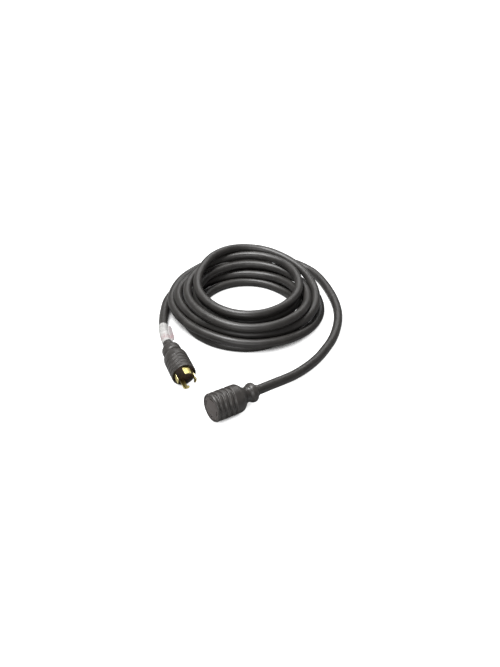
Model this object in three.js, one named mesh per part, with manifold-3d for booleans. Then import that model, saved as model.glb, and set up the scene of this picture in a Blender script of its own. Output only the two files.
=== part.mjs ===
// A 30 A four-wire shore power cord: a locking plug, a locking connector and the cable between them,
// laid down in a loose coil. Millimetres, +Z up, standing on z = 0.
import * as THREE from "three";
import { mergeVertices } from "three/addons/utils/BufferGeometryUtils.js";
import Module from "manifold-3d";

const wasm = await Module();
wasm.setup();

// Cable
const cableRadius = 8.75;
const cableSides = 10;
const plugTailSteps = 24;
const connectorTailSteps = 44;
const gap = 0.3; // between pieces that touch
const wireRadius = 2.1;
const strandRadius = 1.4;
const straightLength = 12; // how far the cable runs straight out of each end
const wireSpread = 4.3; // radius of the circle on which the wires leave the cable

// Terminals, shared by both ends
const bladeInner = 16.0;
const bladeOuter = 17.5;
const terminalRadius = 15.0; // circle of the crimp barrels
const barrelOuter = 2.3;
const barrelInner = 1.7;
const slotClearance = 0.4;
const barrelLength = 10;
const barrelBoreDepth = 7;
const strandBare = 2.5; // bare strands between a wire's insulation and its barrel

// Plug, measured from its cable end to the rim round its blades
const plugLength = 98;
const plugRadius = 22.05;
const plugFace = 92;
const plugCableEnd = 36; // how far the jacket reaches into the handle
const plugMouldStart = 52;
const plugCarrierStart = 74;
const plugBarrelStart = plugCarrierStart - 12;
const plugBore = 19.9;
const plugBoreStart = 48;
const bladeReach = 116;
const bladeRoot = plugCarrierStart - 8;
const hookLength = 6.5;
const hookBelowTip = 0.5;
const hookOut = 0.33; // beyond the blade's edge, as a share of its width
const hookOverlap = 0.2; // on the blade, as a share of its width

// Connector, measured from its cable end to its front rim
const connectorLength = 93.5;
const connectorRadius = 24.9;
const connectorCableEnd = 32;
const connectorMouldStart = 49.5;
const connectorFaceStart = 68.5;
const connectorFace = 92.7;
const connectorBarrelStart = connectorFaceStart - 9;
const connectorBore = 21.2;
const connectorBoreStart = 46;

// Spring contacts and the chambers that hold them
const contactInner = 14.4;
const contactOuter = 19.1;
const leafThickness = 0.7;
const leafLength = 12;
const leafShare = 0.8; // of the blade's width
const bridgeThickness = 1.2;
const chamberInner = 14;
const chamberOuter = 19.5;
const chamberDepth = 14;
const chamberExtra = 1.2;

// Grips: wavy grooves round both handles, listed as first, pitch, depth, width and where the waves end
const grooveCount = 4;
const waveCount = 3;
const waveHeight = 1.9;
const waveFade = 5;
const plugGrip = { first: 62, pitch: 9, depth: 1.1, width: 4.6, from: 56.5, to: 96 };
const connectorGrip = { first: 58, pitch: 9.6, depth: 1.7, width: 5.2, from: 52.5, to: 90.5 };

// Where the pieces lie, before the whole is centred on its origin
const layOffset = [-2.3, -5.2];
const plugFacePoint = [-115.7, -149.3, 24.2];
const plugHeading = -67.2; // degrees from +X
const plugTilt = 2.5; // both fronts look up a little, because the stiff cable holds them so
const plugRoll = -12; // round its own axis
const connectorFacePoint = [-64.0, -237.2, 29.8];
const connectorHeading = -145.5;
const connectorTilt = 5.5;
const connectorRoll = 0;

// Loose coil: a sheared ring, leaning to the back with height
const coilCentre = [-3, 72];
const coilLean = 0.35;
const coilOuter = 164;
const coilInner = 96;
const coilHeight = 78;

// Warning label: a tag wrapped round the cable behind the plug, its two ends stuck together as a flag
const labelStart = 4; // along the cable from the plug
const labelLength = 58;
const labelThickness = 0.8;
const flagHeight = 8.5;
const flagThickness = 1.6;
const flagAngle = 18; // degrees above level

// The cable's uncoiled stretches, chosen by hand: from the plug to the coil, and from the coil to the connector
const plugTailRoute = [
  [-165, -26, 18.9], [-169, -5, 17.3], [-172.5, 18, 14.7], [-174.8, 44, 11.8],
  [-175.5, 73, 9.4], [-174, 101, 8.8], [-164, 129, 8.8], [-145, 152, 8.8], [-120, 168, 8.8],
];
const connectorTailRoute = [
  [-62, 236, 23], [-28, 247, 20], [8, 254, 18], [45, 258, 16], [76, 257, 14], [101, 248, 12],
  [122, 234, 9.8], [140, 216, 8.8], [153, 192, 8.8], [163, 165, 8.8], [171, 137, 8.8],
  [177, 107, 8.8], [180, 77, 8.8], [179, 47, 8.8], [174, 17, 8.8], [166, -11, 8.8],
  [156, -36, 8.8], [144, -57, 8.8], [132, -77, 8.8], [119, -94.5, 9], [105, -110.5, 9.8],
  [90, -126, 11.2], [75.5, -139.5, 12.9], [60, -151, 14.8], [45, -161.4, 16.8],
];

const shell = new THREE.MeshStandardMaterial({ color: 0x2b2a29, roughness: 0.72, metalness: 0 });
const jacket = new THREE.MeshStandardMaterial({ color: 0x242322, roughness: 0.6, metalness: 0 });
const phenolic = new THREE.MeshStandardMaterial({ color: 0x1d1512, roughness: 0.5, metalness: 0 });
const inner = new THREE.MeshStandardMaterial({ color: 0x3a3835, roughness: 0.8, metalness: 0 });
const brass = new THREE.MeshStandardMaterial({ color: 0xc9a24a, roughness: 0.3, metalness: 1 });
const copper = new THREE.MeshStandardMaterial({ color: 0xb8734a, roughness: 0.35, metalness: 1 });
const paper = new THREE.MeshStandardMaterial({ color: 0xe2ded8, roughness: 0.7, metalness: 0 });

// Four poles: the angle of each round the axis, its width along the arc and its hook
const poles = [
  { name: "ground", angle: 90, width: 13, hook: 0, wire: 0x2f7a3c },
  { name: "x", angle: 180, width: 9, hook: 0, wire: 0x1b1b1b },
  { name: "neutral", angle: 270, width: 9, hook: 1, wire: 0xd8d6d0 },
  { name: "y", angle: 0, width: 9, hook: -1, wire: 0x9c2a22 },
];

const rad = THREE.MathUtils.degToRad;

function toSolid(geometry) {
  const bare = geometry.clone();
  bare.deleteAttribute("normal");
  bare.deleteAttribute("uv");
  const merged = mergeVertices(bare, 1e-4);
  return new wasm.Manifold(
    new wasm.Mesh({
      numProp: 3,
      vertProperties: new Float32Array(merged.attributes.position.array),
      triVerts: new Uint32Array(merged.index.array),
    }),
  );
}

function toGeometry(solid) {
  const mesh = solid.getMesh();
  const geometry = new THREE.BufferGeometry();
  geometry.setAttribute("position", new THREE.BufferAttribute(mesh.vertProperties, 3));
  geometry.setIndex(new THREE.BufferAttribute(mesh.triVerts, 1));
  geometry.computeVertexNormals();
  return geometry;
}

function join(...geometries) {
  return toGeometry(geometries.map(toSolid).reduce((a, b) => a.add(b)));
}

function cut(body, ...tools) {
  return toGeometry(tools.map(toSolid).reduce((a, b) => a.subtract(b), toSolid(body)));
}

// A ring turned about +Z from a closed outline of [radius, z] points, listed anticlockwise.
function turned(outline, segments = 48) {
  const closed = [...outline, outline[0]].map(([r, z]) => new THREE.Vector2(r, z));
  return new THREE.LatheGeometry(closed, segments).rotateX(Math.PI / 2);
}

function rod(radius, z0, z1, x = 0, y = 0, sides = 12) {
  return new THREE.CylinderGeometry(radius, radius, z1 - z0, sides)
    .rotateX(Math.PI / 2)
    .translate(x, y, (z0 + z1) / 2);
}

// A plate bent round the axis: a slice of a ring between two radii, from z0 to z1.
function arcPlate(r0, r1, angle, width, z0, z1) {
  const half = width / (r0 + r1);
  const mid = rad(angle);
  const shape = new THREE.Shape();
  shape.absarc(0, 0, r1, mid - half, mid + half, false);
  shape.absarc(0, 0, r0, mid + half, mid - half, true);
  shape.closePath();
  const options = { depth: z1 - z0, bevelEnabled: false, curveSegments: 6 };
  return new THREE.ExtrudeGeometry(shape, options).translate(0, 0, z0);
}

function onCircle(radius, angle) {
  return [radius * Math.cos(rad(angle)), radius * Math.sin(rad(angle))];
}

function smoothCurve(points) {
  return new THREE.CatmullRomCurve3(points.map((p) => new THREE.Vector3(...p)), false, "centripetal");
}

function tubeAlong(curve, radius, steps, sides) {
  const shape = new THREE.Shape();
  for (let i = 0; i < sides; i++) {
    const a = ((i + 0.5) / sides) * 2 * Math.PI;
    shape[i ? "lineTo" : "moveTo"](radius * Math.cos(a), radius * Math.sin(a));
  }
  shape.closePath();
  return new THREE.ExtrudeGeometry(shape, { steps, extrudePath: curve, bevelEnabled: false });
}

function node(name, geometry, material) {
  const mesh = new THREE.Mesh(geometry, material.clone());
  mesh.name = name;
  return mesh;
}

// A hollow moulded handle: the outer outline from cable end to rim, then back down the stepped bore.
function handle(outer, boreRadius, boreStart) {
  const boreSlope = 9;
  const bore = [
    [boreRadius, outer[outer.length - 1][1]],
    [boreRadius, boreStart],
    [cableRadius + gap, boreStart - boreSlope],
    [cableRadius + gap, 0],
  ];
  return turned([...outer, ...bore]);
}

function grooves(grip, radius) {
  const { first, pitch, depth, width } = grip;
  return Array.from({ length: grooveCount }, (_, i) => first + i * pitch).flatMap((z) => [
    [radius, z - width / 2],
    [radius - depth, z - width / 4],
    [radius - depth, z + width / 4],
    [radius, z + width / 2],
  ]);
}

// Both handles: a thin neck on the cable, a flange to pull on, a waist and the grip.
function plugBody() {
  const outer = [
    [9.8, 0], [10.2, 1], [10.3, 12.6],
    [14.6, 14.4], [17.2, 18.8], [17.6, 23], [17.6, 31.5], [16.2, 35.4],
    [15, 37.4], [15, 39.2], [18.8, 41.8], [21.2, 45.6], [plugRadius, 50.5],
    ...grooves(plugGrip, plugRadius),
    [plugRadius, plugLength - 1.5], [plugRadius - 1, plugLength],
  ];
  return wave(handle(outer, plugBore, plugBoreStart), plugGrip, plugBore);
}

function connectorBody() {
  const outer = [
    [9.8, 0], [10.2, 1], [10.3, 4.8],
    [13.8, 6], [17, 8.6], [17.5, 12], [17, 15.8], [15.4, 18.6],
    [13.6, 21], [13.4, 26.5], [16.6, 31.5], [21.8, 36.8], [24.2, 40], [connectorRadius, 43],
    ...grooves(connectorGrip, connectorRadius),
    [connectorRadius, connectorLength - 2.4],
    [connectorRadius - 0.8, connectorLength - 0.6],
    [connectorRadius - 2.2, connectorLength],
  ];
  return wave(handle(outer, connectorBore, connectorBoreStart), connectorGrip, connectorBore);
}

// Bends the grooves into waves round the body, outside its bore.
function wave(geometry, grip, bore) {
  const p = geometry.attributes.position;
  for (let i = 0; i < p.count; i++) {
    const radius = Math.hypot(p.getX(i), p.getY(i));
    const share = (p.getZ(i) - grip.from) / (grip.to - grip.from);
    if (radius < bore + 0.5 || share < 0 || share > 1) continue;
    const angle = Math.atan2(p.getY(i), p.getX(i));
    const fade = Math.min(1, waveFade * share, waveFade * (1 - share));
    p.setZ(i, p.getZ(i) + waveHeight * fade * Math.sin(waveCount * angle));
  }
  return geometry;
}

// A locking blade: a bent plate, a crimp barrel behind it, and on two poles a hook beside its tip.
function blade(pole) {
  const plate = arcPlate(bladeInner, bladeOuter, pole.angle, pole.width, bladeRoot, bladeReach);
  const parts = [plate, crimpBarrel(pole, plugBarrelStart, barrelLength)];
  if (pole.hook) {
    const hookWidth = pole.width * (hookOut + hookOverlap);
    const middle = pole.width * (0.5 + hookOut) - hookWidth / 2;
    const away = THREE.MathUtils.radToDeg(middle / bladeOuter);
    const top = bladeReach - hookBelowTip;
    const hookAngle = pole.angle + pole.hook * away;
    parts.push(arcPlate(bladeInner, bladeOuter, hookAngle, hookWidth, top - hookLength, top));
  }
  return cut(join(...parts), barrelBore(pole, plugBarrelStart));
}

function crimpBarrel(pole, z, length) {
  return rod(barrelOuter, z, z + length, ...onCircle(terminalRadius, pole.angle));
}

function barrelBore(pole, z) {
  return rod(barrelInner, z - 1, z + barrelBoreDepth + 1, ...onCircle(terminalRadius, pole.angle));
}

// A spring contact: two leaves that grip a blade, a bridge behind them and a crimp barrel.
function contact(pole) {
  const start = connectorFaceStart + 1;
  const end = start + leafLength;
  const width = pole.width * leafShare;
  return cut(
    join(
      arcPlate(contactInner, contactInner + leafThickness, pole.angle, width, start, end),
      arcPlate(contactOuter - leafThickness, contactOuter, pole.angle, width, start, end),
      arcPlate(contactInner, contactOuter, pole.angle, width, start, start + bridgeThickness),
      crimpBarrel(pole, connectorBarrelStart, barrelLength + bridgeThickness / 2),
    ),
    barrelBore(pole, connectorBarrelStart),
  );
}

function plugCarrier() {
  const disc = rod(plugBore - gap, plugCarrierStart, plugFace, 0, 0, 48);
  return cut(disc, ...poles.map((p) => bladeSlot(p, plugCarrierStart - 1, plugFace + 1)));
}

function bladeSlot(pole, z0, z1) {
  const c = slotClearance;
  return arcPlate(bladeInner - c, bladeOuter + c, pole.angle, pole.width + 2 * c, z0, z1);
}

function wireChannel(pole, z0, z1) {
  return rod(barrelOuter + slotClearance, z0, z1, ...onCircle(terminalRadius, pole.angle));
}

function plugInnerMould() {
  const end = plugCarrierStart - gap;
  const disc = rod(plugBore - gap, plugMouldStart, end, 0, 0, 48);
  const channels = poles.map((p) => wireChannel(p, plugMouldStart - 1, end + 1));
  return cut(disc, ...channels, ...poles.map((p) => bladeSlot(p, bladeRoot - 0.5, end + 1)));
}

function connectorInnerMould() {
  const end = connectorFaceStart - gap;
  const disc = rod(connectorBore - gap, connectorMouldStart, end, 0, 0, 48);
  return cut(disc, ...poles.map((p) => wireChannel(p, connectorMouldStart - 1, end + 1)));
}

// The connector's face: a narrow slot for each blade in front, and a wider chamber for its contact behind.
function connectorFacePiece() {
  const disc = rod(connectorBore - gap, connectorFaceStart, connectorFace, 0, 0, 48);
  const slots = poles.map((p) => bladeSlot(p, connectorFaceStart, connectorFace + 1));
  const chambers = poles.map((p) =>
    arcPlate(chamberInner, chamberOuter, p.angle, p.width + chamberExtra,
      connectorFaceStart - 1, connectorFaceStart + chamberDepth),
  );
  const channels = poles.map((p) => wireChannel(p, connectorFaceStart - 1, connectorFaceStart + 2));
  return cut(disc, ...slots, ...chambers, ...channels);
}

function wire(pole, cableEnd, mouldStart, z1) {
  const [x0, y0] = onCircle(wireSpread, pole.angle);
  const [x1, y1] = onCircle(terminalRadius, pole.angle);
  const curve = new THREE.CatmullRomCurve3([
    new THREE.Vector3(x0, y0, cableEnd + gap),
    new THREE.Vector3(x0, y0, cableEnd + 3),
    new THREE.Vector3((x0 + x1) / 2, (y0 + y1) / 2, (cableEnd + mouldStart) / 2),
    new THREE.Vector3(x1, y1, mouldStart - 0.6),
    new THREE.Vector3(x1, y1, z1),
  ]);
  return tubeAlong(curve, wireRadius, 10, 8);
}

// Everything at one end of the cable, built along +Z from the cable end.
function cordEnd(prefix, pieces, cableEnd, mouldStart, barrelStart) {
  const end = new THREE.Group();
  for (const [name, geometry, material] of pieces) end.add(node(name, geometry, material));
  end.add(node(`${prefix}_cable_end`, rod(cableRadius, 0, cableEnd, 0, 0, 24), jacket));
  for (const pole of poles) {
    const insulation = new THREE.MeshStandardMaterial({ color: pole.wire, roughness: 0.5, metalness: 0 });
    const wireEnd = barrelStart - strandBare;
    end.add(node(`${prefix}_wire_${pole.name}`, wire(pole, cableEnd, mouldStart, wireEnd), insulation));
    const at = onCircle(terminalRadius, pole.angle);
    const strands = rod(strandRadius, wireEnd + gap, barrelStart + barrelBoreDepth, ...at);
    end.add(node(`${prefix}_copper_${pole.name}`, strands, copper));
  }
  return end;
}

function plug() {
  return cordEnd(
    "plug",
    [
      ["plug_body", plugBody(), shell],
      ["plug_inner_mould", plugInnerMould(), inner],
      ["plug_blade_carrier", plugCarrier(), phenolic],
      ...poles.map((p) => [`blade_${p.name}`, blade(p), brass]),
    ],
    plugCableEnd,
    plugMouldStart,
    plugBarrelStart,
  );
}

function connector() {
  return cordEnd(
    "connector",
    [
      ["connector_body", connectorBody(), shell],
      ["connector_inner_mould", connectorInnerMould(), inner],
      ["connector_face", connectorFacePiece(), phenolic],
      ...poles.map((p) => [`contact_${p.name}`, contact(p), brass]),
    ],
    connectorCableEnd,
    connectorMouldStart,
    connectorBarrelStart,
  );
}

// Lays an end down: its axis along a heading and a tilt, and the middle of its front at a place.
function layDown(end, heading, tilt, roll, length, facePoint) {
  const direction = new THREE.Vector3(
    Math.cos(rad(heading)) * Math.cos(rad(tilt)),
    Math.sin(rad(heading)) * Math.cos(rad(tilt)),
    Math.sin(rad(tilt)),
  );
  const side = new THREE.Vector3(-Math.sin(rad(heading)), Math.cos(rad(heading)), 0);
  const up = new THREE.Vector3().crossVectors(direction, side);
  const turn = new THREE.Matrix4().makeBasis(side, up, direction);
  end.quaternion.setFromRotationMatrix(turn);
  end.rotateZ(rad(roll));
  end.position.set(...facePoint).addScaledVector(direction, -length);
  return { start: end.position.clone(), direction };
}

function coilRing(grow = 0) {
  const outline = [
    [coilInner + 5 - grow, -grow],
    [coilOuter - 6 + grow, -grow],
    [coilOuter + grow, 6 - grow],
    [coilOuter + grow, 36 + grow],
    [130 + grow, 74 + grow],
    [122, coilHeight + grow],
    [coilInner + 10, coilHeight + grow],
    [coilInner - grow, 68],
    [coilInner - grow, 5],
  ];
  const lean = new THREE.Matrix4().makeShear(0, 0, 0, 0, 0, coilLean);
  return turned(outline, 64).applyMatrix4(lean).translate(...coilCentre, 0);
}

// A tube from the cable end of a laid-down plug or connector, straight out and then along its route.
function tail(laid, route, steps) {
  const outward = [gap, straightLength].map((l) => laid.start.clone().addScaledVector(laid.direction, -l));
  const curve = smoothCurve([...outward.map((p) => p.toArray()), ...route]);
  return { curve, geometry: cut(tubeAlong(curve, cableRadius, steps, cableSides), coilRing(gap)) };
}

// Follows the curve between two lengths from its start, a few straight steps at a time.
function stretch(curve, from, length, count) {
  const total = curve.getLength();
  return Array.from({ length: count + 1 }, (_, i) => curve.getPointAt((from + (length * i) / count) / total));
}

function label(curve) {
  const path = new THREE.CatmullRomCurve3(stretch(curve, labelStart, labelLength, 6));
  const outer = cableRadius + gap + labelThickness;
  const wrap = tubeAlong(path, outer, 10, 20);
  const frames = path.computeFrenetFrames(10, false);
  const towardsCoil = new THREE.Vector3(Math.cos(rad(flagAngle)), 0, Math.sin(rad(flagAngle)));
  const turn = Math.atan2(towardsCoil.dot(frames.binormals[0]), towardsCoil.dot(frames.normals[0]));
  const tip = outer + flagHeight;
  const half = flagThickness / 2;
  const flag = new THREE.Shape(
    [[cableRadius, -half], [tip, -half], [tip, half], [cableRadius, half]].map(([r, side]) =>
      new THREE.Vector2(r, side).rotateAround(new THREE.Vector2(), turn),
    ),
  );
  const plate = new THREE.ExtrudeGeometry(flag, { steps: 10, extrudePath: path, bevelEnabled: false });
  return cut(join(wrap, plate), tubeAlong(curve, cableRadius + gap, plugTailSteps, cableSides));
}

const cord = new THREE.Group();
const plugEnd = plug();
const connectorEnd = connector();
const plugLaid = layDown(plugEnd, plugHeading, plugTilt, plugRoll, plugLength, plugFacePoint);
const connectorLaid = layDown(
  connectorEnd, connectorHeading, connectorTilt, connectorRoll, connectorLength, connectorFacePoint);

const plugTail = tail(plugLaid, plugTailRoute, plugTailSteps);
const connectorTail = tail(connectorLaid, [...connectorTailRoute].reverse(), connectorTailSteps);

cord.add(plugEnd, connectorEnd);
cord.add(node("cord_plug_tail", plugTail.geometry, jacket));
cord.add(node("warning_label", label(plugTail.curve), paper));
cord.add(node("cord_coil", coilRing(), jacket));
cord.add(node("cord_connector_tail", connectorTail.geometry, jacket));
cord.position.set(...layOffset, 0);

const part = new THREE.Group();
part.add(cord);
export default part;
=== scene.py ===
# Shore power cord: a locking plug, a locking connector and the cable between them in a loose coil.
import math

import bmesh
import bpy
import numpy as np
from mathutils import Matrix, Vector


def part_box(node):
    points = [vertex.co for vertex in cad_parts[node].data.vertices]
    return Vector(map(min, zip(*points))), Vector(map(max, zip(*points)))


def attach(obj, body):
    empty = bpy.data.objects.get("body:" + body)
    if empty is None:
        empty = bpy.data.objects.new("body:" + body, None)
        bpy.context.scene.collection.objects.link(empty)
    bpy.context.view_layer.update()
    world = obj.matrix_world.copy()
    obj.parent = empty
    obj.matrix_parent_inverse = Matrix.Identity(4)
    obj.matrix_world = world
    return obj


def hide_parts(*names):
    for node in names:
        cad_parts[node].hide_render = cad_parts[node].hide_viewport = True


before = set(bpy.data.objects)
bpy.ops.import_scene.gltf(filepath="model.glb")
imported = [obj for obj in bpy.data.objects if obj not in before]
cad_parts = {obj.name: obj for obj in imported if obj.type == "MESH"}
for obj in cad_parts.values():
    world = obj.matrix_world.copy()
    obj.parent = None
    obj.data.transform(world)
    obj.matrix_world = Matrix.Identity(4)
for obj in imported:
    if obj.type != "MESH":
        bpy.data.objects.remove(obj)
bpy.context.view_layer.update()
scene = bpy.context.scene
scene.view_settings.view_transform = "Standard"
mm = 0.001

cameraSet = {
    "place": (-0.0023, -0.9402, 0.7305),
    "tilt": 52.0,  # degrees, 0 looks straight down
    "lens": 32.38,
    "sensor": 36.0,
}


def makeCamera(s):
    data = bpy.data.cameras.new("mainCamera")
    data.lens = s["lens"]
    data.sensor_width = s["sensor"]
    data.clip_start, data.clip_end = 0.05, 60
    cam = bpy.data.objects.new("mainCamera", data)
    cam.location = s["place"]
    cam.rotation_euler = (math.radians(s["tilt"]), 0, 0)
    scene.collection.objects.link(cam)
    scene.camera = cam


def middleOf(name):
    low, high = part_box(name)
    return (Vector(low) + Vector(high)) / 2


# The place of a plug or connector: its origin where the cable enters, +Z towards its front, +Y up
def endPlace(cableEnd, cableMiddle, front, roll=0.0):
    start = middleOf(cableEnd)
    along = (middleOf(front) - start).normalized()
    side = Vector((-along.y, along.x, 0)).normalized()
    turn = Matrix((side, along.cross(side), along)).transposed().to_4x4()
    turn = turn @ Matrix.Rotation(math.radians(roll), 4, "Z")
    return Matrix.Translation(start - along * cableMiddle) @ turn


endSet = {
    "plugCableMiddle": 0.018,  # from the plug's origin to the middle of the cable inside it
    "plugRoll": -12.0,  # degrees
    "connectorCableMiddle": 0.016,
}

makeCamera(cameraSet)
plugPlace = endPlace(
    "plug_cable_end", endSet["plugCableMiddle"], "plug_blade_carrier", endSet["plugRoll"])
connectorPlace = endPlace("connector_cable_end", endSet["connectorCableMiddle"], "connector_face")
print("camera and both ends placed")

cordSet = {
    "diameter": 0.0175,
    "sides": 28,
    "ringStep": 0.004,
    "straight": 0.012,  # how far it runs straight out of each end
    "centre": (-0.0053, 0.0808),  # middle of the coil
    "layOffset": (-0.0023, -0.0052),
    "pointStep": 0.008,  # spacing of the points while the coil settles
    "rounds": 300,
    "pull": 0.05,  # back towards the wound shape
    "weight": 0.0001,
    "stiffness": 0.25,
    "smoothings": 3,
    "apart": 2.2,  # diameters along the cable before two points can meet
    "nearby": 1.6,  # diameters within which points are looked at
    "give": 0.25,  # share of a stretched step taken back at each end
    "heldAtPlug": 0.215,
    "heldAtConnector": 0.800,
    "fade": 0.060,
    "layRidge": 0.00004,  # the four wires inside show faintly through the jacket
    "layLength": 0.140,
}

# The uncoiled stretches, in millimetres before the whole is centred
plugTailRoute = [
    (-165, -26, 18.9), (-169, -5, 17.3), (-172.5, 18, 14.7), (-174.8, 44, 11.8),
    (-175.5, 73, 9.4), (-174, 101, 8.8),
]
connectorTailRoute = [
    (-62, 236, 23), (-28, 247, 20), (8, 254, 18), (45, 258, 16), (76, 257, 14), (101, 248, 12),
    (122, 234, 9.8), (140, 216, 8.8), (153, 192, 8.8), (163, 165, 8.8), (171, 137, 8.8),
    (177, 107, 8.8), (180, 77, 8.8), (179, 47, 8.8), (174, 17, 8.8), (166, -11, 8.8),
    (156, -36, 8.8), (144, -57, 8.8), (132, -77, 8.8), (119, -94.5, 9), (105, -110.5, 9.8),
    (90, -126, 11.2), (75.5, -139.5, 12.9), (60, -151, 14.8), (45, -161.4, 16.8),
]
# The coil, wound clockwise from its left side: turn, radius and height in millimetres
coilTurns = [
    (0.10, 155, 9), (0.18, 138, 9), (0.25, 122, 9), (0.38, 115, 9), (0.50, 119, 9), (0.58, 116, 9),
    (0.65, 113, 9), (0.75, 118, 9), (0.88, 111, 9), (1.00, 101, 9), (1.12, 93, 9), (1.25, 88, 9),
    (1.38, 89, 10), (1.45, 95, 14), (1.52, 106, 23), (1.58, 117, 26.5), (1.64, 131, 20),
    (1.71, 138, 12), (1.80, 141, 9), (1.89, 140, 9), (2.00, 131, 11), (2.12, 113, 19), (2.25, 96, 25),
    (2.38, 97, 29), (2.50, 102, 36), (2.60, 100, 39), (2.75, 98, 39), (2.88, 99, 39), (3.00, 107, 38),
    (3.12, 109, 40), (3.25, 107, 44), (3.38, 109, 44), (3.50, 120, 45), (3.62, 132, 49),
    (3.75, 132, 50), (3.86, 125, 52), (4.00, 125, 51), (4.12, 126, 54), (4.25, 123, 59),
    (4.38, 112, 60), (4.50, 103, 58), (4.60, 99, 58), (4.75, 101, 58), (4.89, 98, 58), (5.00, 104, 62),
    (5.08, 111, 67), (5.15, 124, 70), (5.25, 135, 67), (5.36, 131, 60), (5.48, 134, 48),
    (5.57, 139, 40), (5.65, 135, 36), (5.75, 129, 33), (5.85, 126, 34), (5.93, 135, 35),
    (6.00, 146, 36), (6.12, 140, 32), (6.25, 124, 28), (6.36, 134, 20), (6.44, 146, 13),
    (6.52, 149, 11), (6.60, 150, 18), (6.67, 152, 25), (6.75, 148, 26), (6.84, 144, 27),
    (6.92, 149, 27), (6.99, 157, 27), (7.08, 161, 27), (7.14, 162, 27),
]


# A smooth line through values given at uneven places
def throughPoints(at, values, wanted):
    at, values = np.array(at, float), np.array(values, float)
    slope = np.gradient(values, at, axis=0)
    k = np.clip(np.searchsorted(at, wanted, side="right") - 1, 0, len(at) - 2)
    width = (at[k + 1] - at[k])[:, None]
    t = (wanted - at[k])[:, None] / width
    return (
        (2 * t**3 - 3 * t**2 + 1) * values[k] + (t**3 - 2 * t**2 + t) * width * slope[k]
        + (3 * t**2 - 2 * t**3) * values[k + 1] + (t**3 - t**2) * width * slope[k + 1]
    )


def lengthsAlong(line):
    return np.concatenate([[0], np.cumsum(np.linalg.norm(np.diff(line, axis=0), axis=1))])


def spaced(line, step):
    along = lengthsAlong(line)
    return throughPoints(along, line, np.linspace(0, along[-1], round(along[-1] / step) + 1))


def woundCoil(s, turns, pointsPerTurn=48):
    at = [t for t, radius, height in turns]
    turn = np.linspace(at[0], at[-1], int((at[-1] - at[0]) * pointsPerTurn) + 1)
    place = throughPoints(at, [(radius * mm, height * mm) for t, radius, height in turns], turn)
    angle = math.pi - 2 * math.pi * turn
    x = s["centre"][0] + place[:, 0] * np.cos(angle)
    y = s["centre"][1] + place[:, 0] * np.sin(angle)
    return np.stack([x, y, place[:, 1]], axis=1)


def laidOut(s, route):
    return np.array(route, float) * mm + np.array([*s["layOffset"], 0])


def outOf(place, s):
    return [np.array(place @ Vector((0, 0, -length))) for length in (0, s["straight"])]


# Lets the wound cable settle: it sinks, straightens a little, and stretches that meet are pushed apart
def settled(line, s):
    points, wound, count = line.copy(), line.copy(), len(line)
    lengths = np.linalg.norm(np.diff(line, axis=0), axis=1)
    along, d = lengthsAlong(line), s["diameter"]
    fromPlug = np.clip((along - s["heldAtPlug"] + s["fade"]) / s["fade"], 0, 1)
    fromConnector = np.clip((along[-1] - along - s["heldAtConnector"] + s["fade"]) / s["fade"], 0, 1)
    free = fromPlug * fromConnector
    apart = int(math.ceil(s["apart"] * d / s["pointStep"]))
    firstOf, secondOf = np.triu_indices(count, apart)
    for step in range(s["rounds"]):
        points[:, 2] -= s["weight"] * free
        points += (wound - points) * (s["pull"] * free)[:, None]
        bend = np.zeros_like(points)
        nextTo, nextButOne = points[1:-3] + points[3:-1], points[:-4] + points[4:]
        bend[2:-2] = (4 * nextTo - nextButOne - 6 * points[2:-2]) / 6
        points += bend * s["stiffness"] * free[:, None]
        if step % 4 == 0:
            between = points[secondOf] - points[firstOf]
            near = np.einsum("ij,ij->i", between, between) < (s["nearby"] * d) ** 2
            nearFirst, nearSecond = firstOf[near], secondOf[near]
        for again in range(2):
            points += pushedApart(points, nearFirst, nearSecond, free, d)
            run = points[1:] - points[:-1]
            now = np.linalg.norm(run, axis=1)
            give = run * ((now - lengths) / now * s["give"])[:, None]
            move = np.zeros_like(points)
            move[:-1] += give
            move[1:] -= give
            points += move * free[:, None]
            points[:, 2] = np.maximum(points[:, 2], d / 2)
    return points


def pushedApart(points, firstOf, secondOf, free, d):
    between = points[secondOf] - points[firstOf]
    square = np.einsum("ij,ij->i", between, between)
    inside = square < d * d
    a, b = firstOf[inside], secondOf[inside]
    gap = np.sqrt(square[inside]) + 1e-9
    push = between[inside] * ((d - gap) / gap * 0.5)[:, None]
    both = np.maximum(free[a] + free[b], 1e-9)
    move, count = np.zeros_like(points), len(points)
    for axis in range(3):
        move[:, axis] = np.bincount(b, push[:, axis] * 2 * free[b] / both, count)
        move[:, axis] -= np.bincount(a, push[:, axis] * 2 * free[a] / both, count)
    meetings = np.bincount(a, minlength=count) + np.bincount(b, minlength=count)
    return move / np.maximum(meetings, 1)[:, None] ** 0.6


def cordLine(s):
    line = np.concatenate([
        outOf(plugPlace, s),
        laidOut(s, plugTailRoute),
        woundCoil(s, coilTurns),
        laidOut(s, connectorTailRoute),
        outOf(connectorPlace, s)[::-1],
    ])
    line = settled(spaced(line, s["pointStep"]), s)
    for again in range(s["smoothings"]):
        line[2:-2] += (line[1:-3] + line[3:-1] - 2 * line[2:-2]) * 0.25
    line[:, 2] = np.maximum(line[:, 2], s["diameter"] / 2)
    return spaced(line, s["ringStep"])


# Two directions across a line at each of its points, carried along without twisting
def framesAlong(line):
    ahead = np.gradient(line, axis=0)
    ahead /= np.linalg.norm(ahead, axis=1)[:, None]
    across = np.zeros_like(ahead)
    across[0] = np.cross(ahead[0], (0, 0, 1))
    for i in range(1, len(line)):
        across[i] = across[i - 1] - ahead[i] * (across[i - 1] @ ahead[i])
        across[i] /= np.linalg.norm(across[i])
    across[0] /= np.linalg.norm(across[0])
    return ahead, across, np.cross(ahead, across)


def newPiece(name, points, faces, replaced, material=None):
    data = bpy.data.meshes.new(name)
    data.from_pydata([tuple(p) for p in points], [], [tuple(f) for f in faces])
    data.validate()
    piece = bpy.data.objects.new(name, data)
    scene.collection.objects.link(piece)
    return declared(piece, replaced, material)


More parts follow.
